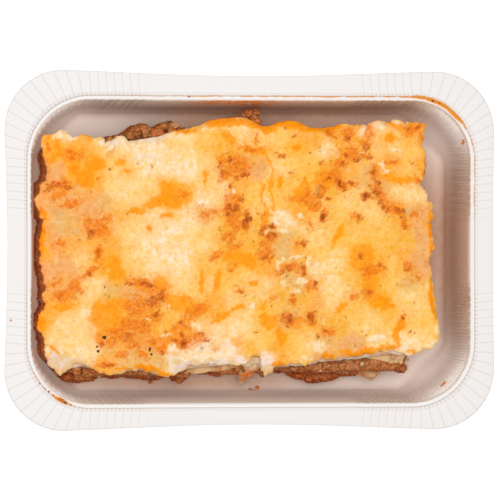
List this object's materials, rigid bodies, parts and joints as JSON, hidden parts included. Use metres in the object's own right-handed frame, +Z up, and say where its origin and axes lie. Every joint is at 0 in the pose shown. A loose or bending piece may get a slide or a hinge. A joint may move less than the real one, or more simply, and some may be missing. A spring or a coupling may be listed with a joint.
{
  "type": "lasagne ready meal in a paperboard tray",
  "caption": "Slab of baked lasagne, browned cheese over layers of pasta, meat sauce and white sauce, in a pressed white paperboard tray with a pleated flange.",
  "frame": {"origin": "centre of the tray's underside, on the surface that it rests on", "axes": "+X along the tray's length, +Y across it to the back, +Z up out of the tray"},
  "size_m": [0.1874, 0.1368, 0.036],
  "materials": {
    "board": "satin",
    "pasta": "satin",
    "meat_sauce": "satin",
    "white_sauce": "satin",
    "cheese": "satin"
  },
  "bodies": {
    "root": {"tray": "board", "pasta_bottom": "pasta", "meat_sauce_lower": "meat_sauce", "pasta_middle": "pasta", "meat_sauce_upper": "meat_sauce", "pasta_top": "pasta", "white_sauce": "white_sauce", "cheese_topping": "cheese"}
  },
  "joints": []
}
